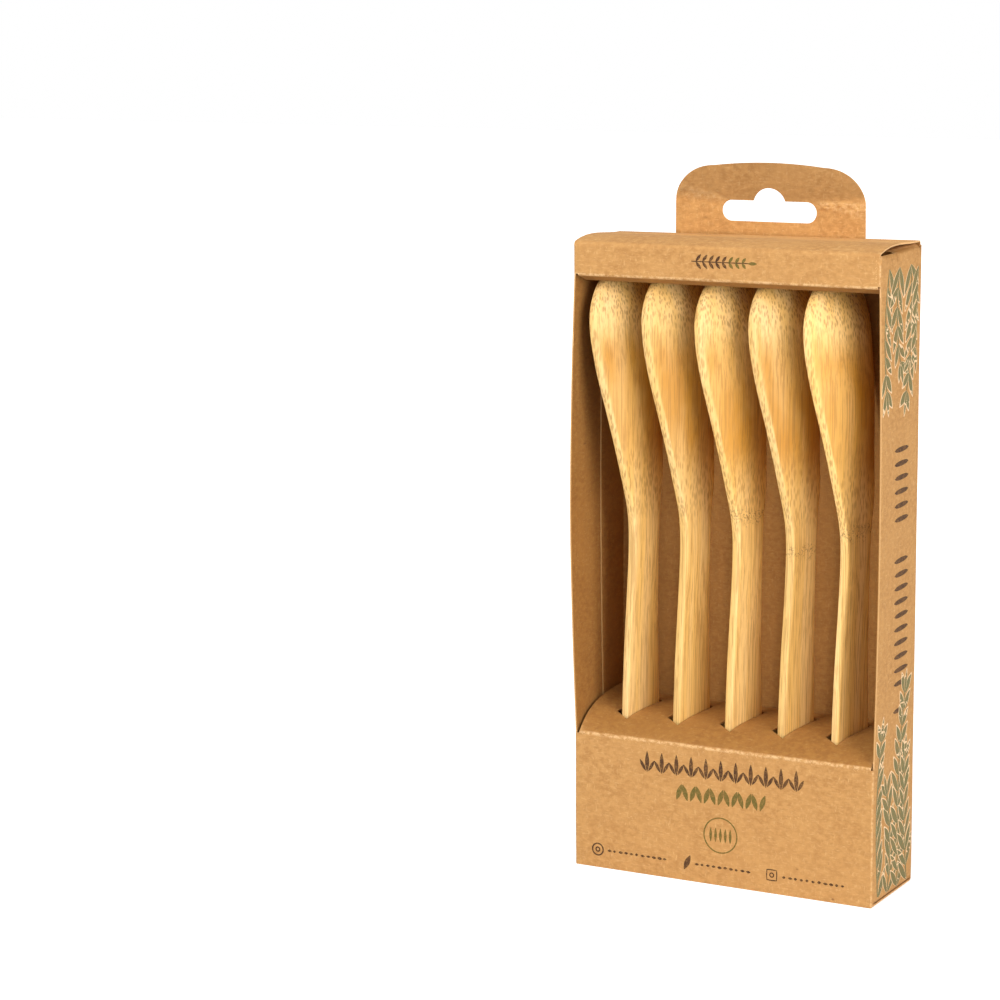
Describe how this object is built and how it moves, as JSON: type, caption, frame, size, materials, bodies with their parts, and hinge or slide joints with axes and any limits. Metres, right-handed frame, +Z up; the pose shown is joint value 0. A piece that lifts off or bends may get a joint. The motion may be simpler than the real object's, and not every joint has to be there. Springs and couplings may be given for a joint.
{
  "type": "wooden cutlery pack",
  "caption": "Hanging display carton of brown card with an open front, tuck lids and a slotted shelf that holds a row of bamboo spoons upright.",
  "frame": {"origin": "on the surface it stands on, at the middle of the carton's width and depth", "axes": "+Z up the carton to its hang tab, -Y out of the open front, +X to the right seen from the front"},
  "size_m": [0.1099, 0.035, 0.2347],
  "materials": {
    "kraft_card": "matte",
    "bamboo": "satin"
  },
  "bodies": {
    "carton": {"carton": "kraft_card", "spoon_1": "bamboo", "spoon_2": "bamboo", "spoon_3": "bamboo", "spoon_4": "bamboo", "spoon_5": "bamboo"},
    "top_lid": {"top_lid": "kraft_card"},
    "bottom_lid": {"bottom_lid": "kraft_card"}
  },
  "joints": [
    {"name": "top_lid_hinge", "type": "hinge", "parent": "carton", "child": "top_lid", "pos_m": [0, -0.01725, 0.20975], "axis": [1, 0, 0], "range_deg": [0, 180]},
    {"name": "bottom_lid_hinge", "type": "hinge", "parent": "carton", "child": "bottom_lid", "pos_m": [0, 0.01725, 0.00025], "axis": [1, 0, 0], "range_deg": [0, 180]}
  ]
}
